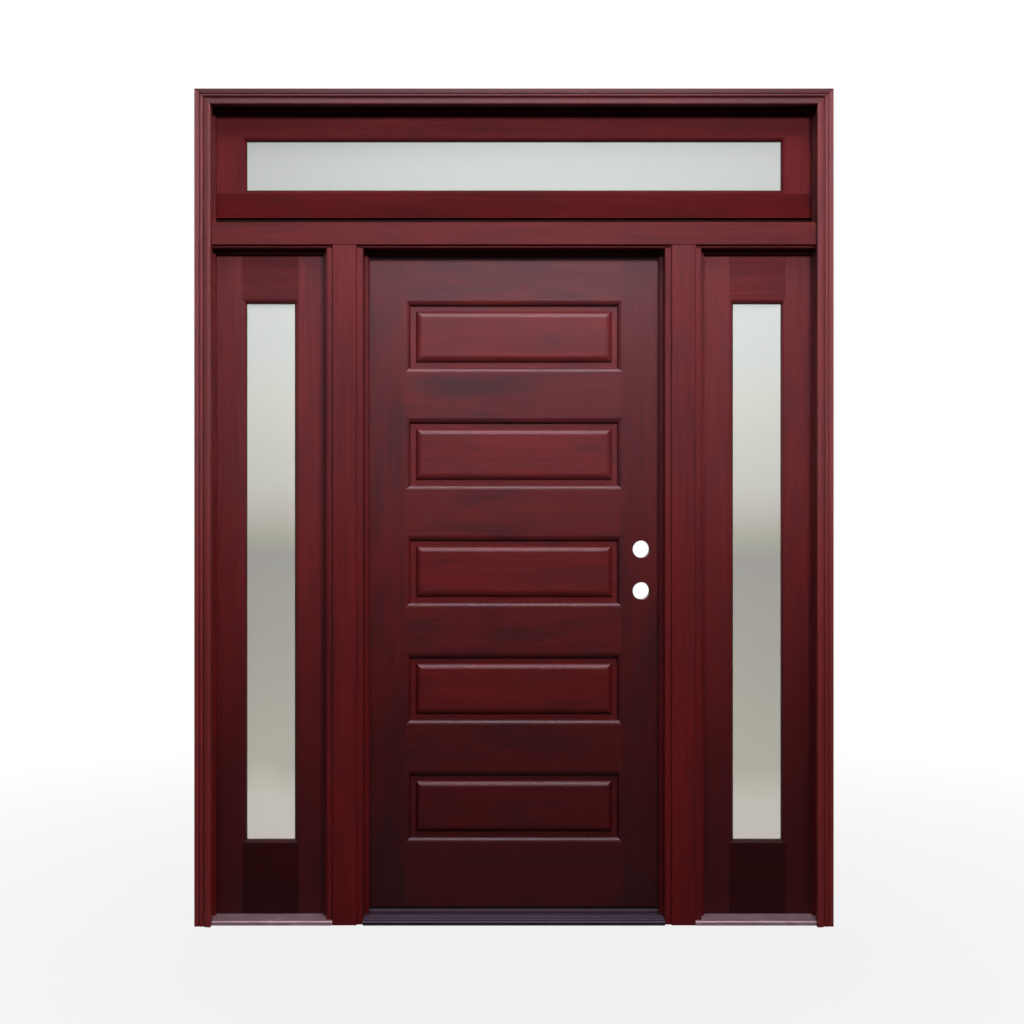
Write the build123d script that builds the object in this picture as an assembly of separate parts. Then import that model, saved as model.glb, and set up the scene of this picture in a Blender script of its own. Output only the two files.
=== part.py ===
from build123d import *
import os

# Front entry unit in stained wood: an inswing door of five raised panels between two fixed
# sidelights, under a fixed transom. Millimetres. X runs across the unit, Y into the house, Z up.
# The origin is under the threshold, at the middle of the doorway and of the frame's depth.

# Door leaf
door_width = 914.4
door_height = 2032.0
door_thickness = 44.45
stile_face = 120.0
top_rail_face = 146.0
cross_rail_face = 144.0
bottom_rail_face = 200.0
panel_count = 5

# Moulded edge of the door's stiles and rails, with the groove that holds the panels
stick_width = 14.0
stick_quirk = 1.6
stick_drop = 9.0
groove_width = 10.0
groove_depth = 12.0
cope_allowance = 3.0

# Raised panels
tongue_clearance = 0.2
tongue_end_gap = 2.0
panel_margin = 17.0
panel_round = 20.0
panel_step = 1.6
panel_setback = 3.5

# Lock bores, seen from the lock edge
lock_backset = 60.325
cross_bore_diameter = 54.0
latch_bore_diameter = 25.4
lockset_height = 982.0
deadbolt_spacing = 130.0

# Frame
jamb_depth = 116.0
jamb_thickness = 19.05
stop_depth = 12.7
stop_thickness = 16.0
stop_easing = 3.0
post_easing = 2.5
door_gap = 5.0
seal_space = 6.0
seal_clearance = 0.3
seal_side_gap = 1.5
seal_nose = 2.5
mullion_width = 112.6
bar_height = 88.0
bar_fall = 8.5

# Trim on the outside of the frame
mullion_casing_width = 74.0
bar_casing_height = 68.0
bar_casing_reveal = 3.5
casing_thickness = 9.5
casing_easing = 2.5
brickmould_width = 50.8
brickmould_thickness = 31.75
brickmould_lap = 9.5

# Brick mould section, outward from its inner edge: a thumb, a bead and a flat fillet, with quirks between
thumb_width = 22.0
thumb_crest = 4.0
thumb_edge = 25.0
thumb_foot = 24.0
quirk_width = 1.6
quirk_floor = 19.5
bead_width = 12.0
bead_height = 25.0
fillet_height = 23.0
corner_easing = 2.0

# Sashes of the sidelights and of the transom
sash_thickness = 44.45
sash_setback = 48.0
sash_gap = 1.6
sidelight_width = 355.6
transom_height = 338.0
transom_bed = 13.6
bed_inset = 12.0
sash_stile = 101.6
sidelight_top_rail = 160.0
sidelight_bottom_rail = 227.0
transom_top_rail = 98.0
transom_bottom_rail = 86.0
sash_stick_width = 11.0
sash_stick_quirk = 1.2
sash_stick_drop = 8.0
glass_lip = 14.0
glass_rebate = 12.0
glass_edge_gap = 3.0
pane_thickness = 4.0
air_space = 10.0
spacer_width = 8.0
bead_chamfer = 5.0
stop_chamfer = 4.0
mitre_gap = 0.1

# Sills
sill_projection = 12.0
sill_seat = 20.0
sill_nose = 13.0
sill_easing = 3.0
sill_fall_gap = 2.0
deck_height = 16.0
deck_rib_count = 4
deck_rib_width = 4.0
deck_rib_height = 1.2
cap_seat = 12.0
cap_top = 28.0
cap_slope = 5.0
sweep_thickness = 3.0
sweep_inset = 4.0
sweep_base = 1.5
sweep_fin = 3.0
door_clearance = 5.0

# Butt hinges
hinge_count = 3
hinge_height = 101.6
hinge_top_margin = 177.8
hinge_bottom_margin = 279.4
leaf_width = 38.0
leaf_thickness = 3.0
leaf_corner = 12.0
knuckle_count = 5
knuckle_radius = 7.5
knuckle_gap = 0.3
hinge_setout = 8.0
pin_radius = 4.0
pin_clearance = 0.05
pin_head_radius = 5.5
pin_head = 3.0

# Depths: the frame's faces, the closed door, its stop, and the sashes
front = -jamb_depth / 2
back = jamb_depth / 2
door_front = back - door_thickness
door_middle = back - door_thickness / 2
door_stop = door_front - seal_space
sash_front = front + sash_setback
sash_stop = sash_front - stop_thickness
sash_back = sash_front + sash_thickness
casing_front = front - casing_thickness
brickmould_front = front - brickmould_thickness
sill_front = front - sill_projection

# Widths, measured from the middle of the doorway
door_half = door_width / 2
doorway = door_half + door_gap
door_stop_x = doorway - stop_depth
mullion_middle = doorway + mullion_width / 2
sidelight_in = doorway + mullion_width
sidelight_stop_in = sidelight_in + stop_depth
sidelight_out = sidelight_in + sidelight_width + 2 * sash_gap
sidelight_stop_out = sidelight_out - stop_depth
jamb_out = sidelight_out + jamb_thickness
brickmould_in = sidelight_out - brickmould_lap
brickmould_out = brickmould_in + brickmould_width
casing_in = mullion_middle - mullion_casing_width / 2
casing_out = mullion_middle + mullion_casing_width / 2
panel_half = door_half - stile_face
rail_reach = panel_half + cope_allowance

# Heights
door_bottom = cap_top + door_clearance + sweep_thickness
door_top = door_bottom + door_height
bar_low = door_top + door_gap
door_stop_z = bar_low - stop_depth
transom_seat = bar_low + bar_height
bar_brow = transom_seat - bar_fall
transom_low = transom_seat + transom_bed
head_low = transom_low + transom_height + sash_gap
transom_stop_low = transom_seat + stop_depth
transom_stop_high = head_low - stop_depth
head_high = head_low + jamb_thickness
bar_casing_high = bar_brow - bar_casing_reveal
bar_casing_low = bar_casing_high - bar_casing_height
brickmould_low = head_low - brickmould_lap
brickmould_high = brickmould_low + brickmould_width
panel_space = door_height - top_rail_face - bottom_rail_face - (panel_count - 1) * cross_rail_face
panel_opening = panel_space / panel_count
panel_pitch = panel_opening + cross_rail_face
first_panel_low = door_bottom + bottom_rail_face

# Hinge axis
hinge_x = -(door_half + door_gap / 2)
hinge_y = back + hinge_setout


def outline(*points):
    """Closed face with straight sides."""
    return make_face(Polyline(*points, close=True))


def rectangle(low_a, low_b, high_a, high_b):
    """Closed rectangle between two corners."""
    return outline((low_a, low_b), (high_a, low_b), (high_a, high_b), (low_a, high_b))


def curved_outline(*pieces):
    """Closed face inside a ring of lines and arcs."""
    return make_face([edge for piece in pieces for edge in piece.edges()])


def upright(section, low, high):
    """Extrudes a plan section, drawn in X and Y, between two heights."""
    return extrude(Pos(0, 0, low) * section, amount=high - low, dir=(0, 0, 1))


def crosswise(section, low, high):
    """Extrudes a section drawn in Y and Z across the unit."""
    place = Plane(origin=(low, 0, 0), x_dir=(0, 1, 0), z_dir=(1, 0, 0))
    return extrude(place * section, amount=high - low, dir=(1, 0, 0))


def through(shape, low, high):
    """Extrudes a front view, drawn in X and Z, through the depth."""
    place = Plane(origin=(0, low, 0), x_dir=(1, 0, 0), z_dir=(0, -1, 0))
    return extrude(place * shape, amount=high - low, dir=(0, 1, 0))


def member(section, middle, across, length):
    """Extrudes a section both ways from its middle. Its width runs along across, its depth along Y."""
    along = tuple(Vector(across).cross(Vector(0, 1, 0)))
    place = Plane(origin=middle, x_dir=across, z_dir=along)
    return extrude(place * section, amount=length / 2, dir=along, both=True)


def mirrored(part):
    """The same piece on the other side of the doorway."""
    return mirror(part, about=Plane.YZ)


def group(*parts):
    """Pieces that share a node, as separate solids."""
    return Compound([solid for part in parts for solid in part.solids()])


def mitred_ring(section, depth, x_low, x_high, z_low, z_high):
    """Four mitred strips round an opening. The section's width runs outward from the opening."""
    x_mid = (x_low + x_high) / 2
    z_mid = (z_low + z_high) / 2
    tall = z_high - z_low + 2 * depth
    wide = x_high - x_low + 2 * depth
    gap = mitre_gap
    head = outline(
        (x_low + gap, z_high),
        (x_high - gap, z_high),
        (x_high + depth - gap, z_high + depth),
        (x_low - depth + gap, z_high + depth),
    )
    foot = outline(
        (x_low + gap, z_low),
        (x_high - gap, z_low),
        (x_high + depth - gap, z_low - depth),
        (x_low - depth + gap, z_low - depth),
    )
    right = outline(
        (x_high, z_low + gap),
        (x_high, z_high - gap),
        (x_high + depth, z_high + depth - gap),
        (x_high + depth, z_low - depth + gap),
    )
    left = outline(
        (x_low, z_low + gap),
        (x_low, z_high - gap),
        (x_low - depth, z_high + depth - gap),
        (x_low - depth, z_low - depth + gap),
    )
    return group(
        member(section, (x_mid, 0, z_high), (0, 0, 1), wide) & through(head, front, back),
        member(section, (x_mid, 0, z_low), (0, 0, -1), wide) & through(foot, front, back),
        member(section, (x_high, 0, z_mid), (1, 0, 0), tall) & through(right, front, back),
        member(section, (x_low, 0, z_mid), (-1, 0, 0), tall) & through(left, front, back),
    )


def right_jamb():
    """Outer post with a stop in front of the sashes."""
    section = outline(
        (sidelight_out, front),
        (jamb_out, front),
        (jamb_out, back),
        (sidelight_out, back),
        (sidelight_out, sash_front),
        (sidelight_stop_out, sash_front),
        (sidelight_stop_out, sash_stop + stop_easing),
        (sidelight_stop_out + stop_easing, sash_stop),
        (sidelight_out, sash_stop),
    )
    return upright(section, 0, head_high)


def head_jamb(jambs):
    """Top of the frame with a stop in front of the transom, coped over the jambs' stops."""
    section = outline(
        (front, head_low),
        (sash_stop, head_low),
        (sash_stop, transom_stop_high + stop_easing),
        (sash_stop + stop_easing, transom_stop_high),
        (sash_front, transom_stop_high),
        (sash_front, head_low),
        (back, head_low),
        (back, head_high),
        (front, head_high),
    )
    return crosswise(section, -sidelight_out, sidelight_out) - jambs


def right_mullion():
    """Post between the door and a sidelight, with a stop in front of each."""
    section = outline(
        (doorway + post_easing, front),
        (sidelight_in - post_easing, front),
        (sidelight_in, front + post_easing),
        (sidelight_in, sash_stop),
        (sidelight_stop_in - stop_easing, sash_stop),
        (sidelight_stop_in, sash_stop + stop_easing),
        (sidelight_stop_in, sash_front),
        (sidelight_in, sash_front),
        (sidelight_in, back),
        (doorway, back),
        (doorway, door_stop),
        (door_stop_x, door_stop),
        (door_stop_x, door_stop - stop_thickness + stop_easing),
        (door_stop_x + stop_easing, door_stop - stop_thickness),
        (doorway, door_stop - stop_thickness),
        (doorway, front + post_easing),
    )
    return upright(section, 0, bar_low)


def hanging_stop(back_face, x_low, x_high):
    """Stop under the transom bar, in front of the door or of a sash."""
    front_face = back_face - stop_thickness
    section = outline(
        (front_face, bar_low),
        (back_face, bar_low),
        (back_face, door_stop_z),
        (front_face + stop_easing, door_stop_z),
        (front_face, door_stop_z + stop_easing),
    )
    return crosswise(section, x_low, x_high)


def transom_bar(posts):
    """Cross piece over the door and the sidelights: its top falls outward, its stops hang below it."""
    section = outline(
        (front + post_easing, bar_low),
        (back, bar_low),
        (back, transom_seat),
        (sash_front - sill_fall_gap, transom_seat),
        (front + post_easing, bar_brow),
        (front, bar_brow - post_easing),
        (front, bar_low + post_easing),
    )
    over_sidelight = hanging_stop(sash_front, sidelight_in, sidelight_out)
    bar = crosswise(section, -sidelight_out, sidelight_out)
    bar = bar + hanging_stop(door_stop, -doorway, doorway) + over_sidelight + mirrored(over_sidelight)
    return bar - posts


def eased_board(low, high):
    """Section of a flat casing on the frame's face, with its two outer edges eased."""
    return outline(
        (low, front),
        (high, front),
        (high, casing_front + casing_easing),
        (high - casing_easing, casing_front),
        (low + casing_easing, casing_front),
        (low, casing_front + casing_easing),
    )


def right_mullion_casing():
    """Flat casing on a mullion, butted under the bar's casing."""
    return upright(eased_board(casing_in, casing_out), 0, bar_casing_low)


def transom_bar_casing():
    """Flat casing on the transom bar, from one brick mould to the other."""
    place = Plane(origin=(0, 0, 0), x_dir=(0, 0, 1), z_dir=(-1, 0, 0))
    section = place * eased_board(bar_casing_low, bar_casing_high)
    return extrude(section, amount=brickmould_in, dir=(1, 0, 0), both=True)


def brickmould_section():
    """Section of the brick mould: its width outward from the opening, its depth along Y."""
    crest = (thumb_crest, brickmould_front)
    quirk = front - quirk_floor
    bead_start = thumb_width + quirk_width
    bead_end = bead_start + bead_width
    fillet_start = bead_end + quirk_width
    fillet_face = front - fillet_height
    return curved_outline(
        Line((0, front), (0, front - thumb_edge)),
        TangentArc(crest, (0, front - thumb_edge), tangent=(-1, 0)),
        TangentArc(crest, (thumb_width, front - thumb_foot), tangent=(1, 0)),
        Polyline((thumb_width, front - thumb_foot), (thumb_width, quirk), (bead_start, quirk)),
        ThreePointArc(
            (bead_start, quirk), (bead_start + bead_width / 2, front - bead_height), (bead_end, quirk)
        ),
        Polyline(
            (bead_end, quirk),
            (fillet_start, quirk),
            (fillet_start, fillet_face),
            (brickmould_width - corner_easing, fillet_face),
            (brickmould_width, fillet_face + corner_easing),
            (brickmould_width, front),
            (0, front),
        ),
    )


def right_brickmould():
    """Upright brick mould, mitred at its head."""
    leg = member(
        brickmould_section(), (brickmould_in, 0, brickmould_high / 2), (1, 0, 0), brickmould_high
    )
    shape = outline(
        (brickmould_in, 0),
        (brickmould_out, 0),
        (brickmould_out, brickmould_high),
        (brickmould_in, brickmould_low),
    )
    return leg & through(shape, brickmould_front, front)


def head_brickmould():
    """Brick mould over the head, mitred at both ends."""
    strip = member(brickmould_section(), (0, 0, brickmould_low), (0, 0, 1), 2 * brickmould_out)
    shape = outline(
        (-brickmould_in, brickmould_low),
        (brickmould_in, brickmould_low),
        (brickmould_out, brickmould_high),
        (-brickmould_out, brickmould_high),
    )
    return strip & through(shape, brickmould_front, front)


def right_sidelight_sill(posts):
    """Sloped sill under a sidelight, coped round the posts and stopped by the trim."""
    section = outline(
        (sill_front, 0),
        (back, 0),
        (back, sill_seat),
        (sash_front - sill_fall_gap, sill_seat),
        (sill_front + sill_easing, sill_nose),
        (sill_front, sill_nose - sill_easing),
    )
    return crosswise(section, casing_out, sidelight_out) - posts


def deck_point(share, lift):
    """Point on the threshold's sloped deck, from its nose to the cap, lifted off the deck."""
    run = door_stop - sill_front - sill_easing
    y = sill_front + sill_easing + share * run
    return (y, sill_nose + share * (deck_height - sill_nose) + lift)


def door_threshold(posts):
    """Ribbed, sloped threshold with a seat for the cap under the door."""
    run = door_stop - sill_front - sill_easing
    rib = deck_rib_width / run
    ribs = []
    for index in range(deck_rib_count):
        middle = (index + 1) / (deck_rib_count + 1)
        ribs.append(deck_point(middle - rib / 2, 0))
        ribs.append(deck_point(middle - rib / 4, deck_rib_height))
        ribs.append(deck_point(middle + rib / 4, deck_rib_height))
        ribs.append(deck_point(middle + rib / 2, 0))
    section = outline(
        (door_stop, cap_seat),
        (back, cap_seat),
        (back, 0),
        (sill_front, 0),
        (sill_front, sill_nose - sill_easing),
        (sill_front + sill_easing, sill_nose),
        *ribs,
        (door_stop, deck_height),
    )
    return crosswise(section, -doorway, doorway) - posts


def threshold_cap():
    """Raised cap under the closed door."""
    section = outline(
        (door_stop, cap_seat),
        (back, cap_seat),
        (back, cap_top - cap_slope),
        (back - cap_slope, cap_top),
        (door_stop + cap_slope, cap_top),
        (door_stop, cap_top - cap_slope),
    )
    return crosswise(section, -doorway, doorway)


def seal_section(low, high):
    """Section of the foam seal on the stop, with a rounded nose towards the door."""
    nose = door_front - seal_clearance
    return curved_outline(
        Polyline((high, nose - seal_nose), (high, door_stop), (low, door_stop), (low, nose - seal_nose)),
        ThreePointArc((low, nose - seal_nose), ((low + high) / 2, nose), (high, nose - seal_nose)),
    )


def door_weatherstrip():
    """Seals on the two side stops and on the head stop."""
    leg = upright(seal_section(door_stop_x + seal_side_gap, doorway - seal_side_gap), cap_top, door_stop_z)
    place = Plane(origin=(0, 0, 0), x_dir=(0, 0, 1), z_dir=(-1, 0, 0))
    section = place * seal_section(door_stop_z + seal_side_gap, bar_low - seal_side_gap)
    top = extrude(section, amount=doorway - seal_side_gap, dir=(1, 0, 0), both=True)
    return group(leg, mirrored(leg), top)


def transom_bedding():
    """Foam bed on the bar under the transom's bottom rail, set back from its face."""
    section = rectangle(sash_front + bed_inset, transom_seat, sash_back - bed_inset / 2, transom_low)
    return crosswise(section, sash_gap - sidelight_out, sidelight_out - sash_gap)


def sash_section(width):
    """Section of a sash member: a moulded outer edge, and a rebate for the glass from inside."""
    face = width - sash_stick_width
    lip = sash_stick_quirk + sash_stick_drop
    return curved_outline(
        Polyline((0, 0), (face, 0), (face, sash_stick_quirk)),
        TangentArc((face, sash_stick_quirk), (width, lip), tangent=(1, 0)),
        Polyline(
            (width, lip),
            (width, glass_lip),
            (width - glass_rebate, glass_lip),
            (width - glass_rebate, sash_thickness),
            (0, sash_thickness),
            (0, 0),
        ),
    )


def sash_stile_pair(x_low, x_high, z_low, z_high):
    """Two upright sash members, one at each side."""
    z_mid = (z_low + z_high) / 2
    tall = z_high - z_low
    section = sash_section(sash_stile)
    left = member(section, (x_low, sash_front, z_mid), (1, 0, 0), tall)
    right = member(section, (x_high, sash_front, z_mid), (-1, 0, 0), tall)
    return group(left, right)


def sash_rail_pair(x_low, x_high, z_low, z_high, low_rail, high_rail):
    """Two level sash members, at the foot and at the head."""
    x_mid = (x_low + x_high) / 2
    wide = x_high - x_low
    foot = member(sash_section(low_rail), (x_mid, sash_front, z_low), (0, 0, 1), wide)
    head = member(sash_section(high_rail), (x_mid, sash_front, z_high), (0, 0, -1), wide)
    return group(foot, head)


def glass_unit(x_low, x_high, z_low, z_high):
    """Two panes over the opening's rebate, and the spacer between their edges."""
    reach = glass_rebate - glass_edge_gap
    outer = sash_front + glass_lip
    inner = outer + pane_thickness + air_space
    sheet = rectangle(x_low - reach, z_low - reach, x_high + reach, z_high + reach)
    inset = reach - spacer_width
    window = rectangle(x_low - inset, z_low - inset, x_high + inset, z_high + inset)
    panes = group(
        through(sheet, outer, outer + pane_thickness), through(sheet, inner, inner + pane_thickness)
    )
    spacer = through(sheet - window, outer + pane_thickness, inner)
    return panes, spacer


def glazing_beads(x_low, x_high, z_low, z_high):
    """Beads that hold the glass from inside, mitred round the opening."""
    start = sash_front + glass_lip + 2 * pane_thickness + air_space
    section = outline(
        (0, start),
        (glass_rebate, start),
        (glass_rebate, sash_back),
        (bead_chamfer, sash_back),
        (0, sash_back - bead_chamfer),
    )
    return mitred_ring(section, glass_rebate, x_low, x_high, z_low, z_high)


def inside_stops(x_low, x_high, z_low, z_high):
    """Stops that hold a sash in the frame from inside, mitred round the opening."""
    section = outline(
        (0, sash_back),
        (stop_depth, sash_back),
        (stop_depth, back),
        (stop_chamfer, back),
        (0, back - stop_chamfer),
    )
    return mitred_ring(section, stop_depth, x_low, x_high, z_low, z_high)


def right_sidelight():
    """Fixed sash beside the door. Its stiles run through and its rails are coped between them."""
    x_low = sidelight_in + sash_gap
    x_high = sidelight_out - sash_gap
    z_low = sill_seat
    z_high = bar_low - sash_gap
    glass = (
        x_low + sash_stile,
        x_high - sash_stile,
        z_low + sidelight_bottom_rail,
        z_high - sidelight_top_rail,
    )
    stiles = sash_stile_pair(x_low, x_high, z_low, z_high)
    shoulder = sash_stile - glass_rebate
    rails = sash_rail_pair(
        x_low + shoulder, x_high - shoulder, z_low, z_high, sidelight_bottom_rail, sidelight_top_rail
    )
    panes, spacer = glass_unit(*glass)
    return {
        "stiles": stiles,
        "rails": group(rails - stiles),
        "glass": panes,
        "spacer": spacer,
        "beads": glazing_beads(*glass),
        "stops": inside_stops(
            sidelight_stop_in, sidelight_stop_out, sill_seat + stop_depth, door_stop_z
        ),
    }


def transom():
    """Fixed sash over the whole width. Its rails run through and its stiles are coped between them."""
    x_high = sidelight_out - sash_gap
    z_low = transom_low
    z_high = head_low - sash_gap
    glass = (
        sash_stile - x_high,
        x_high - sash_stile,
        z_low + transom_bottom_rail,
        z_high - transom_top_rail,
    )
    rails = sash_rail_pair(-x_high, x_high, z_low, z_high, transom_bottom_rail, transom_top_rail)
    stiles = sash_stile_pair(-x_high, x_high, glass[2] - glass_rebate, glass[3] + glass_rebate)
    panes, spacer = glass_unit(*glass)
    return {
        "stiles": group(stiles - rails),
        "rails": rails,
        "glass": panes,
        "spacer": spacer,
        "beads": glazing_beads(*glass),
        "stops": inside_stops(
            -sidelight_stop_out, sidelight_stop_out, transom_stop_low, transom_stop_high
        ),
    }


def moulded_edge(face_end, way):
    """Lines and arcs of a door member's moulded edge, from its front face round to its back face."""
    half = door_thickness / 2
    start = half - stick_quirk
    lip = start - stick_drop
    tip = face_end + way * stick_width
    root = tip - way * groove_depth
    slot = groove_width / 2
    return [
        Line((face_end, -half), (face_end, -start)),
        TangentArc((face_end, -start), (tip, -lip), tangent=(way, 0)),
        Polyline((tip, -lip), (tip, -slot), (root, -slot), (root, slot), (tip, slot), (tip, lip)),
        TangentArc((face_end, start), (tip, lip), tangent=(way, 0)),
        Line((face_end, start), (face_end, half)),
    ]


def edge_member_section(width):
    """Section of a stile or end rail: a square outer edge and a moulded inner edge."""
    half = door_thickness / 2
    return curved_outline(
        Polyline((width, half), (0, half), (0, -half), (width, -half)), *moulded_edge(width, 1)
    )


def cross_rail_section():
    """Section of a cross rail, moulded on both edges."""
    half = door_thickness / 2
    return curved_outline(
        Line((cross_rail_face, half), (0, half)),
        *moulded_edge(0, -1),
        Line((0, -half), (cross_rail_face, -half)),
        *moulded_edge(cross_rail_face, 1),
    )


def plain_stile(edge, across):
    """Full-height door stile from its outer edge inward."""
    middle = (edge, door_middle, door_bottom + door_height / 2)
    return member(edge_member_section(stile_face), middle, across, door_height)


def level_cylinder(radius, start, axis, length):
    """Round bore from a point along an axis."""
    place = Plane(origin=start, z_dir=axis)
    return extrude(place * Circle(radius), amount=length, dir=axis)


def lock_bores():
    """Through bores for the lock and the bolt, each with its latch bore from the door's edge."""
    x = door_half - lock_backset
    cuts = []
    for height in (lockset_height, lockset_height + deadbolt_spacing):
        z = door_bottom + height
        cross = level_cylinder(cross_bore_diameter / 2, (x, door_front, z), (0, 1, 0), door_thickness)
        latch = level_cylinder(latch_bore_diameter / 2, (x, door_middle, z), (1, 0, 0), lock_backset)
        cuts.append(cross + latch)
    return cuts


def raised_section(sight):
    """Section of a raised panel across the opening: tongues for the grooves and a round-edged field."""
    tongue = groove_width / 2 - tongue_clearance
    field = door_thickness / 2 - panel_setback
    end = sight + groove_depth - tongue_end_gap
    foot = sight - panel_margin
    crest = foot - panel_round
    lip = tongue + panel_step
    tongue_end = [(foot, -lip), (foot, -tongue), (end, -tongue), (end, tongue), (foot, tongue), (foot, lip)]
    pieces = [Polyline(*tongue_end), Polyline(*[(-across, depth) for across, depth in tongue_end])]
    for face in (-1, 1):
        pieces.append(Line((-crest, face * field), (crest, face * field)))
        for side in (-1, 1):
            pieces.append(
                TangentArc((side * crest, face * field), (side * foot, face * lip), tangent=(side, 0))
            )
    return curved_outline(*pieces)


def door_panel(number):
    """Raised panel, counted from the top, with its tongue in the grooves of the stiles and rails."""
    z_mid = first_panel_low + (panel_count - number) * panel_pitch + panel_opening / 2
    sight_x = panel_half - stick_width
    sight_z = panel_opening / 2 - stick_width
    wide = member(
        raised_section(sight_x), (0, door_middle, z_mid), (1, 0, 0), panel_opening
    )
    tall = member(raised_section(sight_z), (0, door_middle, z_mid), (0, 0, 1), 2 * panel_half)
    return wide & tall


def door_cross_rails(stiles):
    """Rails between the panels, coped over the stiles' moulding."""
    rails = []
    for index in range(panel_count - 1):
        z = first_panel_low + index * panel_pitch + panel_opening
        rail = member(cross_rail_section(), (0, door_middle, z), (0, 0, 1), 2 * rail_reach)
        rails.append(rail - stiles)
    return group(*rails)


def end_rail(width, z, across, stiles):
    """Top or bottom rail of the door, coped over the stiles' moulding."""
    rail = member(edge_member_section(width), (0, door_middle, z), across, 2 * rail_reach)
    return rail - stiles


def door_sweep():
    """Seal under the door: a base strip with three fins."""
    low = door_front + sweep_inset
    high = back - sweep_inset
    base = door_bottom - sweep_base
    strip = rectangle(low, base, high, door_bottom)
    fins = []
    for start in (low, (low + high - sweep_fin) / 2, high - sweep_fin):
        fins.append(rectangle(start, door_bottom - sweep_thickness, start + sweep_fin, base))
    section = strip + fins
    return crosswise(section, -door_half, door_half)


def hinge_heights():
    """Lower ends of the hinges, evenly spaced between the top one and the bottom one."""
    low = door_bottom + hinge_bottom_margin
    high = door_top - hinge_top_margin - hinge_height
    step = (high - low) / (hinge_count - 1)
    return [low + index * step for index in range(hinge_count)]


def leaf_plate(face, way, z):
    """Flat of a hinge leaf, let into an edge that faces the gap."""
    shape = rectangle(back - leaf_width, z, back, z + hinge_height)
    corners = shape.vertices().sort_by(Axis.X)[:2]
    shape = fillet(corners, leaf_corner)
    return crosswise(shape, min(face, face + way * leaf_thickness), max(face, face + way * leaf_thickness))


def hinge_leaf(face, way, z, knuckles):
    """Hinge leaf with its share of the knuckles, bored for the pin."""
    leaf = leaf_plate(face, way, z)
    pitch = hinge_height / knuckle_count
    low_x = min(face, face + way * leaf_thickness)
    high_x = max(face, face + way * leaf_thickness)
    for index in knuckles:
        low = z + index * pitch + knuckle_gap / 2
        high = z + (index + 1) * pitch - knuckle_gap / 2
        tab = upright(rectangle(low_x, back, high_x, hinge_y), low, high)
        barrel = upright(Pos(hinge_x, hinge_y) * Circle(knuckle_radius), low, high)
        leaf = leaf + tab + barrel
    bore = upright(Pos(hinge_x, hinge_y) * Circle(pin_radius + pin_clearance), z, z + hinge_height)
    return leaf - bore


def hinge_pin(z):
    """Loose pin with a head on the top knuckle."""
    top = z + hinge_height - knuckle_gap / 2
    shank = upright(Pos(hinge_x, hinge_y) * Circle(pin_radius), z + knuckle_gap / 2, top)
    head = upright(Pos(hinge_x, hinge_y) * Circle(pin_head_radius), top, top + pin_head)
    return shank + head


def frame_nodes():
    """Fixed pieces of the frame and its trim."""
    jamb = right_jamb()
    jambs = group(jamb, mirrored(jamb))
    mullion = right_mullion()
    mullions = group(mullion, mirrored(mullion))
    casing = right_mullion_casing()
    mould = right_brickmould()
    posts = group(jamb, mullion, casing, mould)
    doorposts = group(mullion, mirrored(mullion), casing, mirrored(casing))
    sill = right_sidelight_sill(posts)
    recesses = group(*[leaf_plate(-doorway, -1, z) for z in hinge_heights()])
    return {
        "left_jamb": mirrored(jamb),
        "right_jamb": jamb,
        "head_jamb": head_jamb(jambs),
        "left_mullion": mirrored(mullion) - recesses,
        "right_mullion": mullion,
        "transom_bar": transom_bar(group(jambs, mullions)),
        "left_brickmould": mirrored(mould),
        "right_brickmould": mould,
        "head_brickmould": head_brickmould(),
        "mullion_casings": group(casing, mirrored(casing)),
        "transom_bar_casing": transom_bar_casing(),
        "sidelight_sills": group(sill, mirrored(sill)),
        "door_threshold": door_threshold(doorposts),
        "threshold_cap": threshold_cap(),
        "frame_seals": group(door_weatherstrip(), transom_bedding()),
    }


def sash_nodes():
    """Fixed sashes with their glass, beads and stops."""
    sidelight = right_sidelight()
    over = transom()
    nodes = {}
    for piece in ("stiles", "rails", "glass", "beads", "stops"):
        nodes["left_sidelight_" + piece] = mirrored(sidelight[piece])
        nodes["right_sidelight_" + piece] = sidelight[piece]
        nodes["transom_" + piece] = over[piece]
    spacers = (sidelight["spacer"], mirrored(sidelight["spacer"]), over["spacer"])
    nodes["glazing_spacers"] = group(*spacers)
    return nodes


def door_nodes():
    """Pieces of the swinging door."""
    hinge_stile = plain_stile(-door_half, (1, 0, 0))
    lock_stile = plain_stile(door_half, (-1, 0, 0))
    stiles = group(hinge_stile, lock_stile)
    recesses = group(*[leaf_plate(-door_half, 1, z) for z in hinge_heights()])
    nodes = {
        "hinge_stile": hinge_stile - recesses,
        "lock_stile": lock_stile - lock_bores(),
        "door_top_rail": end_rail(top_rail_face, door_top, (0, 0, -1), stiles),
        "door_cross_rails": door_cross_rails(stiles),
        "door_bottom_rail": end_rail(bottom_rail_face, door_bottom, (0, 0, 1), stiles),
        "door_sweep": door_sweep(),
    }
    for number in range(1, panel_count + 1):
        nodes[f"door_panel_{number}"] = door_panel(number)
    return nodes


def hinge_nodes():
    """Butt hinges: fixed leaves, moving leaves and pins."""
    fixed = range(0, knuckle_count, 2)
    moving = range(1, knuckle_count, 2)
    heights = hinge_heights()
    return {
        "hinge_frame_leaves": group(*[hinge_leaf(-doorway, -1, z, fixed) for z in heights]),
        "hinge_door_leaves": group(*[hinge_leaf(-door_half, 1, z, moving) for z in heights]),
        "hinge_pins": group(*[hinge_pin(z) for z in heights]),
    }


os.makedirs("parts", exist_ok=True)
for name, shape in {**frame_nodes(), **sash_nodes(), **door_nodes(), **hinge_nodes()}.items():
    export_step(group(shape), f"parts/{name}.step")
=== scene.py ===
import math

import bmesh
import bpy
from mathutils import Matrix, Vector


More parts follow.
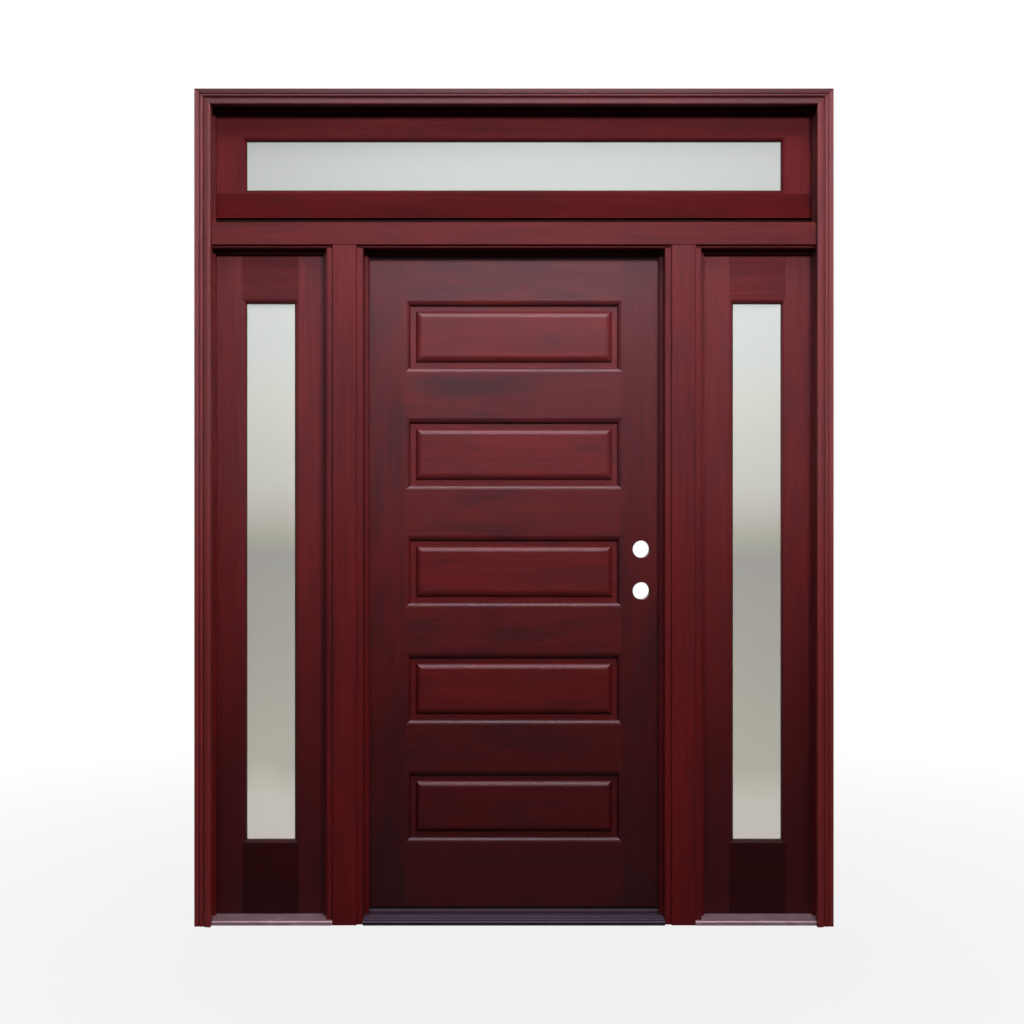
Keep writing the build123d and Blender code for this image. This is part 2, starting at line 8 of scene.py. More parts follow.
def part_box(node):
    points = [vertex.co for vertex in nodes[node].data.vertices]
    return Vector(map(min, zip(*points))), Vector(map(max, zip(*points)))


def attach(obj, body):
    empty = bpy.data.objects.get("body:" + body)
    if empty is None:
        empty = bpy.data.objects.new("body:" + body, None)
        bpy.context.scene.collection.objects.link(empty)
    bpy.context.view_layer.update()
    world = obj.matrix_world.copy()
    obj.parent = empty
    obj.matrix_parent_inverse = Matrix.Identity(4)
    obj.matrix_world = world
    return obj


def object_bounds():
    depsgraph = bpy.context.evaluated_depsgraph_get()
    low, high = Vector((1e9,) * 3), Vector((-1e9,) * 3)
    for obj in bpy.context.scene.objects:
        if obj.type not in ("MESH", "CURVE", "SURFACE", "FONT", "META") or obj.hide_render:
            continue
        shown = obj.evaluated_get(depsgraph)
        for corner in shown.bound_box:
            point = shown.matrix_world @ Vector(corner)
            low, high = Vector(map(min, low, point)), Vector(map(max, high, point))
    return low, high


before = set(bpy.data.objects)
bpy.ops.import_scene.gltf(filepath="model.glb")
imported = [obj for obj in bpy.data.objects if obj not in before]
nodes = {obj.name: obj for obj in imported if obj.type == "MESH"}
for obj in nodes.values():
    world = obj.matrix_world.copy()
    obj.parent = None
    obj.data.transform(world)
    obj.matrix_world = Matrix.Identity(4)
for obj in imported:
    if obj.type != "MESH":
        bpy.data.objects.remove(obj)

cad_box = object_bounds()

# Grain directions: the world axis that the fibres of a board follow
UPRIGHT = "Z"
LEVEL = "X"

# Stain colours, as linear light, and the tint of the topcoat's sheen
STAIN_DEEP = (0.074, 0.0076, 0.0092, 1)
STAIN_MID = (0.118, 0.0125, 0.0145, 1)
STAIN_WARM = (0.164, 0.0195, 0.0205, 1)
STAIN_PURPLE = (0.044, 0.0125, 0.0165, 1)
STAINS = (STAIN_DEEP, STAIN_MID, STAIN_WARM, STAIN_PURPLE)
TOPCOAT_TINT = (1.0, 0.88, 1.0, 1)

# Height over which the painted light and shade of wood and glass change, in metres
SHADED_HEIGHT = 2.5

# Painted shade, darker and redder downwards: places as shares of that height, and how far it has
# darkened and reddened there. Where it has fully reddened, it has lost this share of its green and
# blue.
PAINTED_FOOT_SHADE = [
    (0.04, 1.0, 1.0), (0.14, 0.88, 1.0), (0.29, 0.52, 0.9), (0.44, 0.10, 0.6), (0.56, 0.0, 0.0),
]
# Painted shade that darkens the transom's lower rail and leaves its top rail
PAINTED_TRANSOM_SHADE = [(0.885, 1.0, 1.0), (0.945, 0.0, 0.0)]
REDDENED_LOSS = 0.6

# Dark streak in the rail under the top panel: its middle, its reach along and across the rail,
# and how ragged its edge is
STREAK_PLACE = (-0.135, 0.0136, 1.655)
STREAK_REACH = (0.27, 0.05, 0.045)
STREAK_RAGGED = 1.2

# Frosted glass: how far its painted light and shade drift up and down, in metres, and how fine its
# etching is
GLASS_DRIFT = 0.12
ETCHING_SCALE = 900.0

# Sealant round the panes: how far each pane reaches past its opening, the fillet's width, and the
# share of that width by which its middle is hollow
PANE_REACH = 0.009
FILLET = 0.0025
FILLET_HOLLOW = 0.2

# Hinges, in metres: their axis, the gap between the leaves and their height
HINGE_X = -0.4597
LEAF_GAP = 0.005
HINGE_HEIGHT = 0.1016

# Hinge screws, in metres: their places on a leaf, in depth and in height above its foot, the head
# with the share of it that is rounded over, and the arms of its cross recess
SCREW_PLACES = [(0.030, 0.014), (0.044, 0.037), (0.044, 0.0646), (0.030, 0.0876)]
SCREW_SIDES = 24
SCREW_RADIUS = 0.0042
SCREW_DEPTH = 0.0012
SCREW_ROUNDING = 0.45
SLOT_WIDTH = 0.0011
SLOT_REACH = 0.0016

# Edges of new pieces that are shallower than this are smoothed, in degrees
SMOOTH_ANGLE = 35.0

# Studio: the floor's size and its drop below the sills in metres, its colour, the distance over
# which it fades to white, and the share of the white surroundings that lights the unit
FLOOR_SIZE = 40.0
FLOOR_DROP = 0.0005
FLOOR_COLOUR = (0.14, 0.14, 0.14, 1)
FLOOR_FADE = 6.0
AMBIENT = 0.05
WHITE = (1, 1, 1, 1)

# Camera: its place, and the width that it sees at a distance, in metres. The sensor's width is in
# millimetres.
CAMERA_PLACE = (-0.006, -4.478, 1.264)
SEEN_WIDTH = 3.1232
SEEN_DISTANCE = 4.4
SENSOR_WIDTH = 36.0

# Boards by their part of the unit and the way their grain runs, and what isn't wood
FRAME_POSTS = ["left_jamb", "right_jamb", "left_mullion", "right_mullion", "mullion_casings"]
FRAME_BARS = ["head_jamb", "transom_bar", "transom_bar_casing"]
SIDE_MOULDS = ["left_brickmould", "right_brickmould"]
SASH_STILES = ["left_sidelight_stiles", "right_sidelight_stiles"]
SASH_RAILS = ["left_sidelight_rails", "right_sidelight_rails"]
DOOR_STILES = ["hinge_stile", "lock_stile"]
DOOR_RAILS = ["door_top_rail", "door_cross_rails", "door_bottom_rail"]
DOOR_PANELS = ["door_panel_1", "door_panel_2", "door_panel_3", "door_panel_4", "door_panel_5"]
RING_STRIPS = [
    "left_sidelight_beads", "right_sidelight_beads", "transom_beads",
    "left_sidelight_stops", "right_sidelight_stops", "transom_stops",
]
GLASS_PANES = ["left_sidelight_glass", "right_sidelight_glass", "transom_glass"]
HINGE_METAL = ["hinge_frame_leaves", "hinge_door_leaves", "hinge_pins"]
SEALS = ["frame_seals", "door_sweep"]


class Value:
    """One shader value of a finish. Arithmetic on it adds Math nodes."""

    def __init__(self, finish, socket):
        self.finish = finish
        self.socket = socket

    def __add__(self, other):
        return self.finish.math("ADD", self, other)

    def __radd__(self, other):
        return self.finish.math("ADD", other, self)

    def __sub__(self, other):
        return self.finish.math("SUBTRACT", self, other)

    def __rsub__(self, other):
        return self.finish.math("SUBTRACT", other, self)

    def __mul__(self, other):
        return self.finish.math("MULTIPLY", self, other)

    def __rmul__(self, other):
        return self.finish.math("MULTIPLY", other, self)

    def __truediv__(self, other):
        return self.finish.math("DIVIDE", self, other)

    def __rtruediv__(self, other):
        return self.finish.math("DIVIDE", other, self)


class Finish:
    """A node tree that is built up one node at a time."""

    def __init__(self, tree):
        self.tree = tree

    def node(self, kind, settings, sockets, out=0):
        """Adds a node: its settings first, then the values or links of its sockets."""
        made = self.tree.nodes.new(kind)
        for key, value in settings.items():
            if key == "stops":
                set_stops(made.color_ramp.elements, value)
            else:
                setattr(made, key, value)
        for key, value in sockets.items():
            self.feed(made.inputs[key], value)
        return Value(self, made.outputs[out])

    def feed(self, socket, value):
        """Links a value to a socket, or sets a plain number or colour on it."""
        if isinstance(value, Value):
            self.tree.links.new(value.socket, socket)
        else:
            socket.default_value = value

    def math(self, operation, first, second):
        return self.node("ShaderNodeMath", {"operation": operation}, {0: first, 1: second})

    def mix(self, share, first, second, blend="MIX"):
        """Mixes two colours."""
        settings = {"data_type": "RGBA", "blend_type": blend}
        return self.node("ShaderNodeMix", settings, {0: share, 6: first, 7: second}, out=2)

    def shaded(self, colour, shade):
        """Multiplies a colour by a grey or another colour."""
        return self.mix(1.0, colour, shade, "MULTIPLY")

    def ramp(self, value, *stops):
        """Steps from one grey or colour to the next, with even slopes between them."""
        return self.node("ShaderNodeValToRGB", {"stops": stops}, {0: value})

    def noise(self, place, detail=2.0, roughness=0.5, distortion=0.0, scale=1.0):
        sockets = {
            "Vector": place, "Scale": scale, "Detail": detail, "Roughness": roughness,
            "Distortion": distortion,
        }
        return self.node("ShaderNodeTexNoise", {}, sockets)

    def place(self):
        """Object coordinates, in metres."""
        return self.node("ShaderNodeTexCoord", {}, {}, out="Object")

    def stretched(self, scale, shift=(0, 0, 0)):
        """Object coordinates, scaled along each axis and shifted."""
        sockets = {"Vector": self.place(), "Scale": scale, "Location": shift}
        return self.node("ShaderNodeMapping", {}, sockets)

    def height(self):
        """Height above the sill's underside."""
        return self.node("ShaderNodeSeparateXYZ", {}, {0: self.place()}, out="Z")

    def length(self, vector):
        settings = {"operation": "LENGTH"}
        return self.node("ShaderNodeVectorMath", settings, {0: vector}, out="Value")

    def ray(self, kind):
        """One where the light path is of a kind, and nought elsewhere."""
        return self.node("ShaderNodeLightPath", {}, {}, out=kind)

    def bump(self, height, strength, distance):
        sockets = {"Height": height, "Strength": strength, "Distance": distance}
        return self.node("ShaderNodeBump", {}, sockets)


def set_stops(elements, stops):
    """Sets a ramp's stops, each a place and a grey or a colour."""
    while len(elements) < len(stops):
        elements.new(1.0)
    for element, (place, shade) in zip(elements, stops):
        element.position = place
        element.color = shade if isinstance(shade, tuple) else (shade, shade, shade, 1)


def new_finish(name):
    """A material with a Principled shader, and the finish that builds it."""
    material = bpy.data.materials.new(name)
    material.use_nodes = True
    return material, Finish(material.node_tree), material.node_tree.nodes["Principled BSDF"]


def along_grain(grain, across, along):
    """Scale of a pattern that is drawn out along the grain."""
    return (along, across, across) if grain == LEVEL else (across, across, along)


def toned(colour, tone, grey):
    """A stain colour, lightened or darkened, with a little grey in it as painted sheen."""
    return tuple(tone * part + grey for part in colour[:3]) + (1,)


def painted_shade_colours(shade, foot):
    """Colours of painted shade that darken and redden the wood downwards, with the foot as the most
    that it darkens.
    """
    stops = []
    for place, darkened, reddened in shade:
        red = 1.0 - darkened * foot
        rest = red * (1.0 - reddened * REDDENED_LOSS)
        stops.append((place, (red, rest, rest, 1)))
    return stops


def streak_share(finish):
    """How dark the streak in the upper rail is at each place."""
    spread = tuple(1.0 / reach for reach in STREAK_REACH)
    shift = tuple(-middle / reach for middle, reach in zip(STREAK_PLACE, STREAK_REACH))
    away = finish.length(finish.stretched(spread, shift))
    ragged = finish.noise(finish.stretched((9.0, 40.0, 40.0)), detail=3.0, roughness=0.6)
    return finish.ramp(away + (ragged - 0.5) * STREAK_RAGGED, (0.35, 0.85), (1.0, 0.0))


def mahogany(
    name, grain, shift, tone, gloss, roughness, foot,
    shade=PAINTED_FOOT_SHADE, cloud=0.35, grey=0.0, streaked=False,
):
    """Open-grained wood under a dark red stain with a satin topcoat, and painted shade that darkens
    and reddens it downwards.
    """
    material, finish, shader = new_finish(name)
    deep, middle, warm, purple = [toned(stain, tone, grey) for stain in STAINS]

    def pattern(across, along, **kind):
        return finish.noise(finish.stretched(along_grain(grain, across, along), shift), **kind)

    broad = pattern(across=7.0, along=0.9, detail=3.0, roughness=0.55, distortion=0.3)
    figure = pattern(across=70.0, along=2.2, detail=5.0, roughness=0.6, distortion=0.8)
    fibres = pattern(across=420.0, along=9.0, detail=3.0, roughness=0.6)
    pores = pattern(across=900.0, along=38.0, detail=1.0)
    clouds = pattern(across=15.0, along=4.2, detail=3.0, roughness=0.55, distortion=0.4)

    board = finish.ramp(figure * 0.5 + broad * 0.5, (0.30, deep), (0.50, middle), (0.74, warm))
    dark_clouds = finish.ramp(clouds, (0.46, 0.0), (0.70, 1.0)) * cloud
    if streaked:
        dark_clouds = finish.math("MAXIMUM", dark_clouds, streak_share(finish))
    clouded = finish.mix(dark_clouds, board, purple)
    fibred = finish.shaded(clouded, finish.ramp(fibres, (0.30, 0.84), (0.70, 1.10)))
    pore_mask = finish.ramp(pores, (0.60, 0.0), (0.70, 1.0))
    filled = finish.mix(pore_mask * 0.40, fibred, deep)
    # Painted shade: darker and redder towards the foot
    painted_darkening = finish.ramp(finish.height() / SHADED_HEIGHT, *painted_shade_colours(shade, foot))

    finish.feed(shader.inputs["Base Color"], finish.shaded(filled, painted_darkening))
    finish.feed(shader.inputs["Roughness"], roughness + fibres * 0.10 + pore_mask * 0.15)
    relief = fibres * 0.4 - pore_mask * 0.6
    finish.feed(shader.inputs["Normal"], finish.bump(relief, strength=0.25, distance=0.0004))
    shader.inputs["Specular IOR Level"].default_value = gloss
    shader.inputs["Specular Tint"].default_value = TOPCOAT_TINT
    return material


def frosted_glass(name):
    """Pale etched glass with painted light and shade: greyest in the middle of the sidelights,
    brighter towards head and foot, darker in the transom.
    """
    material, finish, shader = new_finish(name)
    drift = finish.noise(finish.stretched((6.0, 6.0, 2.0)))
    # Painted light and shade by height
    body = finish.ramp(
        (finish.height() + (drift - 0.5) * GLASS_DRIFT) / SHADED_HEIGHT,
        (0.10, (0.84, 0.80, 0.73, 1)),
        (0.145, (0.80, 0.76, 0.68, 1)),
        (0.19, (0.60, 0.585, 0.50, 1)),
        (0.34, (0.43, 0.42, 0.37, 1)),
        (0.45, (0.345, 0.335, 0.31, 1)),
        (0.475, (0.385, 0.385, 0.32, 1)),
        (0.505, (0.475, 0.445, 0.41, 1)),
        (0.54, (0.515, 0.515, 0.47, 1)),
        (0.64, (0.53, 0.53, 0.485, 1)),
        (0.69, (0.51, 0.528, 0.51, 1)),
        (0.80, (0.49, 0.508, 0.49, 1)),
        (0.90, (0.37, 0.384, 0.37, 1)),
    )
    etching = finish.noise(finish.place(), roughness=0.6, scale=ETCHING_SCALE)
    speckles = finish.ramp(etching, (0.3, 0.97), (0.7, 1.02))
    finish.feed(shader.inputs["Base Color"], finish.shaded(body, speckles))
    finish.feed(shader.inputs["Roughness"], 0.42 + etching * 0.2)
    finish.feed(shader.inputs["Normal"], finish.bump(etching, strength=0.1, distance=0.0003))
    shader.inputs["Specular IOR Level"].default_value = 0.3
    return material


def sill_metal(name, plain, rubbed):
    """Satin bronze metal, brushed along the sill and rubbed lighter in patches."""
    material, finish, shader = new_finish(name)
    brushed = finish.noise(finish.stretched((6.0, 900.0, 900.0)), roughness=0.6)
    scuffs = finish.noise(
        finish.stretched((18.0, 40.0, 40.0)), detail=5.0, roughness=0.65, distortion=0.5
    )
    worn = finish.ramp(scuffs, (0.48, 0.0), (0.74, 1.0))
    patched = finish.mix(worn * 0.6, plain, rubbed)
    streaks = finish.ramp(brushed, (0.3, 0.82), (0.7, 1.12))
    finish.feed(shader.inputs["Base Color"], finish.shaded(patched, streaks))
    finish.feed(shader.inputs["Roughness"], 0.34 + brushed * 0.12 + worn * 0.1)
    finish.feed(shader.inputs["Normal"], finish.bump(brushed, strength=0.12, distance=0.0003))
    shader.inputs["Metallic"].default_value = 0.5
    return material


def hinge_metal(name):
    """Brushed dark bronze steel, rubbed brighter in patches."""
    material, finish, shader = new_finish(name)
    brushed = finish.noise(finish.stretched((900.0, 900.0, 40.0)), roughness=0.6)
    rubbed = finish.noise(finish.stretched((60.0, 60.0, 60.0)), detail=4.0, roughness=0.6)
    bright = finish.ramp(rubbed, (0.45, 0.0), (0.75, 1.0))
    patched = finish.mix(bright, (0.12, 0.086, 0.062, 1), (0.25, 0.18, 0.12, 1))
    finish.feed(shader.inputs["Base Color"], patched)
    finish.feed(shader.inputs["Roughness"], 0.30 + brushed * 0.16)
    finish.feed(shader.inputs["Normal"], finish.bump(brushed, strength=0.1, distance=0.0002))
    shader.inputs["Metallic"].default_value = 0.9
    return material


def foam_skin(name):
    """Matt dark brown skin of the foam seals."""
    material, finish, shader = new_finish(name)
    cells = finish.noise(finish.stretched((500.0, 500.0, 500.0)), detail=3.0, roughness=0.6)
    brown = finish.mix(cells, (0.012, 0.004, 0.004, 1), (0.030, 0.009, 0.009, 1))
    finish.feed(shader.inputs["Base Color"], brown)
    finish.feed(shader.inputs["Roughness"], 0.7 + cells * 0.2)
    finish.feed(shader.inputs["Normal"], finish.bump(cells, strength=0.2, distance=0.0003))
    shader.inputs["Specular IOR Level"].default_value = 0.1
    return material


def mill_aluminium(name):
    """Plain aluminium of the glass spacers, with a fine drawn grain."""
    material, finish, shader = new_finish(name)
    drawn = finish.noise(finish.stretched((300.0, 300.0, 300.0)), roughness=0.6)
    silver = finish.mix(drawn, (0.45, 0.45, 0.46, 1), (0.6, 0.6, 0.61, 1))
    finish.feed(shader.inputs["Base Color"], silver)
    finish.feed(shader.inputs["Roughness"], 0.4 + drawn * 0.15)
    shader.inputs["Metallic"].default_value = 1.0
    return material


def composite_cap(name):
    """Dark purple-brown composite of the threshold's cap, with a faint moulded grain."""
    material, finish, shader = new_finish(name)
    grain = finish.noise(finish.stretched((8.0, 260.0, 260.0)), detail=3.0, roughness=0.6)
    brown = finish.mix(grain, (0.026, 0.014, 0.022, 1), (0.064, 0.036, 0.052, 1))
    finish.feed(shader.inputs["Base Color"], brown)
    finish.feed(shader.inputs["Roughness"], 0.5 + grain * 0.15)
    finish.feed(shader.inputs["Normal"], finish.bump(grain, strength=0.2, distance=0.0004))
    shader.inputs["Specular IOR Level"].default_value = 0.15
    return material


def glazing_sealant(name):
    """Dark brown sealant with a faint skin."""
    material, finish, shader = new_finish(name)
    skin = finish.noise(finish.stretched((160.0, 160.0, 160.0)), detail=3.0, roughness=0.6)
    brown = finish.mix(skin, (0.030, 0.008, 0.009, 1), (0.062, 0.018, 0.018, 1))
    finish.feed(shader.inputs["Base Color"], brown)
    finish.feed(shader.inputs["Roughness"], 0.45 + skin * 0.2)
    finish.feed(shader.inputs["Normal"], finish.bump(skin, strength=0.15, distance=0.0003))
    return material


def open_mesh(piece, part):
    """Opens a piece in edit mode with nothing selected."""
    bpy.ops.object.select_all(action="DESELECT")
    piece.select_set(True)
    bpy.context.view_layer.objects.active = piece
    bpy.ops.object.mode_set(mode="EDIT")
    bpy.ops.mesh.select_mode(type=part)
    bpy.ops.mesh.select_all(action="DESELECT")
    return bmesh.from_edit_mesh(piece.data)


def choose(parts, test):
    """Selects the faces or edges that pass a test, beside those selected already."""
    for part in parts:
        if test(part):
            part.select_set(True)


def close_mesh(piece):
    """Turns all faces outwards, leaves edit mode and smooths the shallow edges."""
    bpy.ops.mesh.select_all(action="SELECT")
    bpy.ops.mesh.normals_make_consistent(inside=False)
    bpy.ops.object.mode_set(mode="OBJECT")
    bpy.ops.object.shade_smooth_by_angle(angle=math.radians(SMOOTH_ANGLE))


def sealant_fillet(node, material):
    """Sealant in the corner between a pane's outer face and its sash, all round the opening."""
    low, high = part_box(node)
    middle = (Vector(low) + Vector(high)) / 2
    wide = high[0] - low[0] - 2 * PANE_REACH
    tall = high[2] - low[2] - 2 * PANE_REACH
    bpy.ops.object.select_all(action="DESELECT")
    bpy.ops.mesh.primitive_plane_add(
        size=1.0, location=(middle.x, low[1], middle.z), rotation=(math.radians(90), 0, 0)
    )
    piece = bpy.context.object
    piece.name = node.replace("glass", "sealant")
    piece.scale = (wide, tall, 1.0)
    bpy.ops.object.transform_apply(location=True, rotation=True, scale=True)

    # A flat ring on the pane
    open_mesh(piece, "FACE")
    bpy.ops.mesh.select_all(action="SELECT")
    bpy.ops.mesh.inset(thickness=FILLET)
    bpy.ops.mesh.delete(type="FACE")

    def at_sash(corner):
        away = (abs(corner.co.x - middle.x) - wide / 2, abs(corner.co.z - middle.z) - tall / 2)
        return max(away) > -FILLET / 2

    # A wall up the sash from the ring's outer edge, and a slope back to its inner edge
    bpy.ops.mesh.select_mode(type="EDGE")
    mesh = bmesh.from_edit_mesh(piece.data)
    choose(mesh.edges, lambda edge: all(at_sash(corner) for corner in edge.verts))
    bpy.ops.mesh.extrude_edges_move(TRANSFORM_OT_translate={"value": (0, -FILLET, 0)})
    mesh = bmesh.from_edit_mesh(piece.data)
    choose(mesh.edges, lambda edge: not any(at_sash(corner) for corner in edge.verts))
    bpy.ops.mesh.bridge_edge_loops(number_cuts=1, interpolation="LINEAR")

    # The slope's middle drawn in, so that it is hollow
    bpy.ops.mesh.select_all(action="DESELECT")
    mesh = bmesh.from_edit_mesh(piece.data)
    halfway = low[1] - FILLET / 2

    def is_halfway(corner):
        return abs(corner.co.y - halfway) < FILLET / 8

    choose(mesh.edges, lambda edge: all(is_halfway(corner) for corner in edge.verts))
    bpy.ops.transform.translate(value=(0, FILLET * FILLET_HOLLOW, 0))
    close_mesh(piece)
    piece.data.materials.append(material)
    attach(piece, "frame")


def cross_cutter(place):
    """Cross that cuts a driver recess."""
    bpy.ops.object.select_all(action="DESELECT")
    bpy.ops.mesh.primitive_cube_add(size=SLOT_WIDTH, location=place)
    cutter = bpy.context.object
    mesh = open_mesh(cutter, "FACE")
    choose(mesh.faces, lambda face: abs(face.normal.x) < 0.5)
    bpy.ops.mesh.extrude_faces_move(TRANSFORM_OT_shrink_fatten={"value": SLOT_REACH})
    bpy.ops.object.mode_set(mode="OBJECT")
    return cutter


def hinge_screw(foot):
    """Oval-headed screw with a cross recess, in the lowest hole of the lowest fixed leaf."""
    x = HINGE_X - LEAF_GAP / 2
    y, rise = SCREW_PLACES[0]
    z = foot + rise
    bpy.ops.object.select_all(action="DESELECT")
    bpy.ops.mesh.primitive_cylinder_add(
        vertices=SCREW_SIDES, radius=SCREW_RADIUS, depth=SCREW_DEPTH,
        location=(x, y, z), rotation=(0, math.radians(90), 0),
    )
    screw = bpy.context.object
    bpy.ops.object.transform_apply(location=True, rotation=True, scale=True)
    mesh = open_mesh(screw, "EDGE")
    choose(mesh.edges, lambda edge: all(corner.co.x > x for corner in edge.verts))
    bpy.ops.mesh.bevel(offset=SCREW_DEPTH * SCREW_ROUNDING, segments=3, affect="EDGES")
    close_mesh(screw)
    cutter = cross_cutter((x + SCREW_DEPTH / 2, y, z))
    recess = screw.modifiers.new("recess", "BOOLEAN")
    recess.operation = "DIFFERENCE"
    recess.object = cutter
    bpy.context.view_layer.objects.active = screw
    bpy.ops.object.modifier_apply(modifier="recess")
    bpy.data.objects.remove(cutter)
    return screw


def copied_screw(screw, name, move):
    """Copy of the screw with its own mesh, moved to another hole."""
    piece = bpy.data.objects.new(name, screw.data.copy())
    bpy.context.scene.collection.objects.link(piece)
    piece.data.transform(move)
    return piece


def hinge_screws(material):
    """Screws in every leaf: on the frame they face the gap, and on the door they face back."""
    low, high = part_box("hinge_frame_leaves")
    top_foot = high[2] - HINGE_HEIGHT
    feet = [low[2], (low[2] + top_foot) / 2, top_foot]
    first = hinge_screw(feet[0])
    first.data.materials.append(material)
    y_first, rise_first = SCREW_PLACES[0]
    axis = Matrix.Translation((HINGE_X, y_first, 0))
    turned = axis @ Matrix.Rotation(math.pi, 4, "Z") @ axis.inverted()
    number = 0
    for foot in feet:
        for y, rise in SCREW_PLACES:
            number += 1
            move = Matrix.Translation((0, y - y_first, foot - feet[0] + rise - rise_first))
            for body, turn in (("frame", Matrix.Identity(4)), ("door", turned)):
                piece = copied_screw(first, f"hinge_screw_{body}_{number:02d}", move @ turn)
                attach(piece, body)
    bpy.data.objects.remove(first)


def dress(names, material):
    """Gives CAD nodes one material."""
    for name in names:
        mesh = nodes[name].data
        mesh.materials.clear()
        mesh.materials.append(material)


def aim(thing, target):
    """Turns a lamp to look at a point."""
    toward = Vector(target) - thing.location
    thing.rotation_euler = toward.to_track_quat("-Z", "Y").to_euler()


def softbox(name, place, target, size, power, spread):
    """Rectangular lamp: its sides in metres, its power in watts and its spread in degrees."""
    lamp = bpy.data.lights.new(name, "AREA")
    lamp.shape = "RECTANGLE"
    lamp.size, lamp.size_y = size
    lamp.energy = power
    lamp.spread = math.radians(spread)
    thing = bpy.data.objects.new(name, lamp)
    bpy.context.scene.collection.objects.link(thing)
    thing.location = place
    aim(thing, target)
    return thing


def white_floor():
    """Pale floor that the camera sees as white, with the unit's soft shadow near its foot."""
    bpy.ops.object.select_all(action="DESELECT")
    under = (0, 0, cad_box[0].z - FLOOR_DROP)
    bpy.ops.mesh.primitive_plane_add(size=FLOOR_SIZE, location=under)
    floor = bpy.context.object
    floor.name = "floor"
    material, finish, shader = new_finish("pale_floor")
    shader.inputs["Base Color"].default_value = FLOOR_COLOUR
    shader.inputs["Roughness"].default_value = 0.9
    shader.inputs["Specular IOR Level"].default_value = 0.0
    lit = Value(finish, shader.outputs[0])
    white = finish.node("ShaderNodeEmission", {}, {"Color": WHITE, "Strength": 1.0})
    far = finish.ramp(finish.length(finish.place()) / FLOOR_FADE, (0.15, 0.86), (0.60, 1.0))
    share = finish.ray("Is Camera Ray") * far
    seen = finish.node("ShaderNodeMixShader", {}, {0: share, 1: lit, 2: white})
    finish.feed(material.node_tree.nodes["Material Output"].inputs["Surface"], seen)
    floor.data.materials.append(material)


def white_surroundings():
    """World that is white to the eye, and in reflections above the horizon, and lights little."""
    world = bpy.data.worlds.new("studio")
    world.use_nodes = True
    bpy.context.scene.world = world
    sky = Finish(world.node_tree)
    above = sky.ramp(sky.height(), (0.10, 0.0), (0.28, 1.0))
    seen = sky.math("MAXIMUM", sky.ray("Is Camera Ray"), sky.ray("Is Transmission Ray"))
    white = sky.math("MAXIMUM", seen, sky.ray("Is Glossy Ray") * above)
    background = world.node_tree.nodes["Background"]
    background.inputs["Color"].default_value = WHITE
    sky.feed(background.inputs["Strength"], AMBIENT + white * (1.0 - AMBIENT))


def lamps():
    """A key that shows in no reflection, a front light and an overhead softbox on each face.

    The quarter lights stand left and right on the inner side.
    """
    for face, way in (("outer", 1), ("inner", -1)):
        key = softbox(
            face + "_key", (1.45 * way, -3.9 * way, 3.5), (-0.25 * way, 0.0, 2.0),
            size=(0.45, 0.45), power=36.0, spread=85.0,
        )
        key.visible_glossy = False
        softbox(
            face + "_front", (0.2 * way, -3.9 * way, 3.7), (0.0, 0.0, 2.0),
            size=(2.8, 0.5), power=20.0, spread=85.0,
        )
        softbox(
            face + "_overhead", (0.0, -2.2 * way, 5.0), (0.0, 0.0, 1.6),
            size=(3.2, 1.4), power=44.0, spread=120.0,
        )
        softbox(
            face + "_quarter", (3.6 * way, 2.4, 3.0), (0.0, 0.6, 1.2),
            size=(1.4, 1.4), power=20.0, spread=120.0,
        )


def photograph():
    """Camera level with the middle of the unit, square on to its outer face."""
    lens = bpy.data.cameras.new("camera")
    lens.sensor_width = SENSOR_WIDTH
    lens.lens = SENSOR_WIDTH * SEEN_DISTANCE / SEEN_WIDTH
    thing = bpy.data.objects.new("camera", lens)
    bpy.context.scene.collection.objects.link(thing)
    thing.location = CAMERA_PLACE
    thing.rotation_euler = (math.radians(90), 0, 0)
    bpy.context.scene.camera = thing


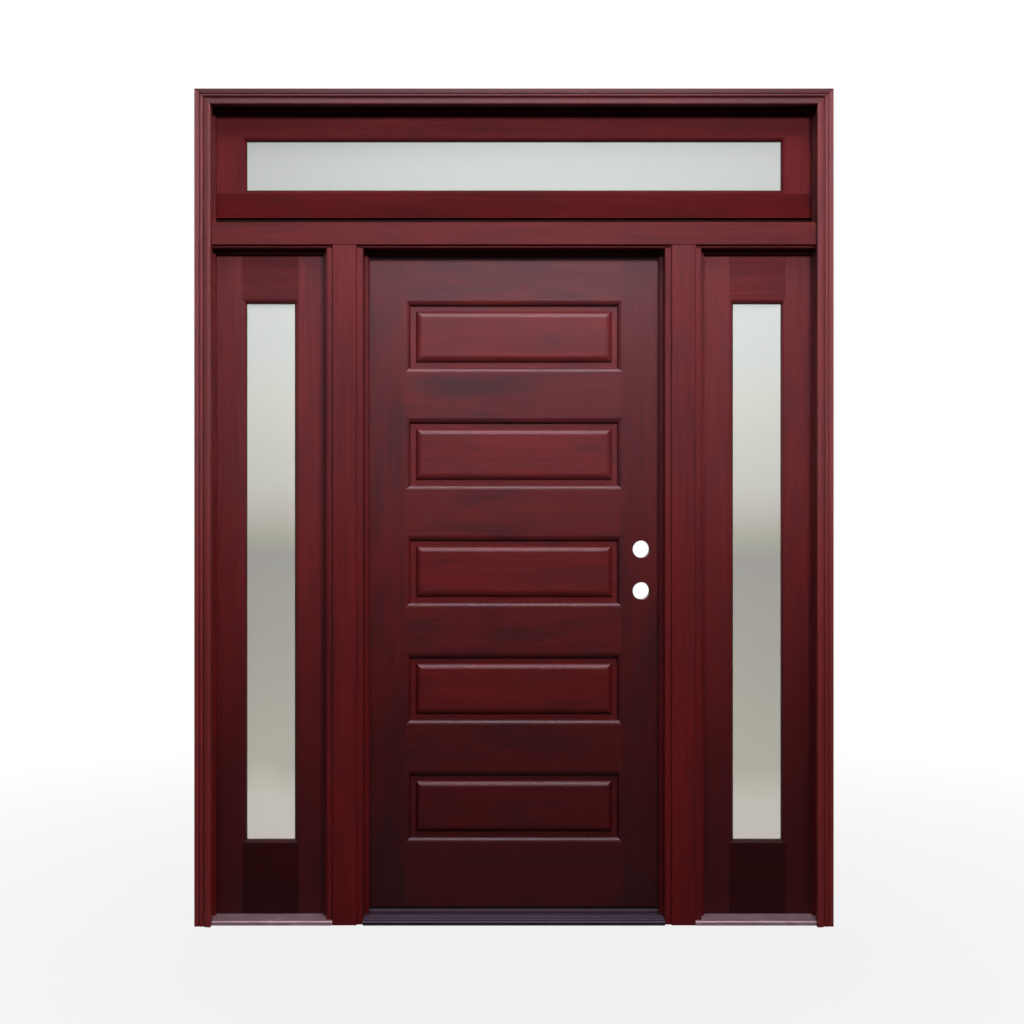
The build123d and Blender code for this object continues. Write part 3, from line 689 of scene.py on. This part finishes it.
# Frame
dress(FRAME_POSTS, mahogany(
    "posts", UPRIGHT, (0.0, 0.0, 0.0), tone=0.85, gloss=0.24, roughness=0.44, foot=0.12,
))
dress(FRAME_BARS, mahogany(
    "bars", LEVEL, (3.1, 1.7, 0.4), tone=0.66, gloss=0.18, roughness=0.44, foot=0.0,
))
# One moulding in lit and shaded copies: the side moulds painted lighter with grey as painted sheen,
# the head mould painted darker
dress(SIDE_MOULDS, mahogany(
    "side_moulds_painted_light", UPRIGHT, (7.4, 1.3, 0.2), tone=1.20, gloss=0.45, roughness=0.42, foot=0.0,
    grey=0.013,
))
dress(["head_brickmould"], mahogany(
    "head_mould_painted_shade", LEVEL, (0.6, 3.7, 5.5), tone=0.52, gloss=0.30, roughness=0.38, foot=0.0,
))
# Sidelight sills: the threshold's bronze painted far lighter, as a painted highlight
dress(["sidelight_sills"], sill_metal("bronze_sill_painted_highlight", (0.36, 0.215, 0.26, 1), (0.60, 0.42, 0.47, 1)))
dress(["door_threshold"], sill_metal(
    "bronze_threshold", (0.030, 0.014, 0.033, 1), (0.078, 0.042, 0.078, 1),
))
dress(["threshold_cap"], composite_cap("composite_cap"))
dress(SEALS, foam_skin("foam_skin"))

# Sidelights and transom
dress(SASH_STILES, mahogany(
    "sash_stiles", UPRIGHT, (1.2, 4.4, 0.7), tone=0.86, gloss=0.30, roughness=0.42, foot=0.66,
))
dress(SASH_RAILS, mahogany(
    "sash_rails", LEVEL, (6.3, 0.2, 2.4), tone=0.76, gloss=0.18, roughness=0.42, foot=0.80,
))
dress(["transom_stiles"], mahogany(
    "transom_stiles", UPRIGHT, (2.2, 0.9, 3.6), tone=0.80, gloss=0.08, roughness=0.50, foot=0.0,
))
# Transom rails, with painted shade on the lower rail
dress(["transom_rails"], mahogany(
    "transom_rails", LEVEL, (9.4, 6.2, 1.5), tone=0.72, gloss=0.08, roughness=0.50, foot=0.28,
    shade=PAINTED_TRANSOM_SHADE,
))
dress(RING_STRIPS, mahogany(
    "glazing_strips", UPRIGHT, (5.3, 2.9, 1.1), tone=0.9, gloss=0.20, roughness=0.44, foot=0.0,
))
dress(GLASS_PANES, frosted_glass("frosted_glass"))
dress(["glazing_spacers"], mill_aluminium("spacer_aluminium"))
sealant = glazing_sealant("glazing_sealant")
for pane in GLASS_PANES:
    sealant_fillet(pane, sealant)

# Door and its hinges
dress(DOOR_STILES, mahogany(
    "door_stiles", UPRIGHT, (2.5, 3.3, 1.9), tone=0.64, gloss=0.44, roughness=0.31, foot=0.62,
    cloud=0.6,
))
dress(DOOR_RAILS, mahogany(
    "door_rails", LEVEL, (4.7, 5.1, 3.2), tone=0.66, gloss=0.44, roughness=0.31, foot=0.52,
    cloud=0.6, streaked=True,
))
dress(DOOR_PANELS, mahogany(
    "door_panels", LEVEL, (8.9, 2.6, 4.5), tone=0.94, gloss=0.40, roughness=0.31, foot=0.62,
    cloud=0.5,
))
bronze = hinge_metal("bronze_hinge")
dress(HINGE_METAL, bronze)
hinge_screws(bronze)

# Studio
white_floor()
white_surroundings()
lamps()
photograph()
bpy.context.scene.view_settings.view_transform = "Standard"
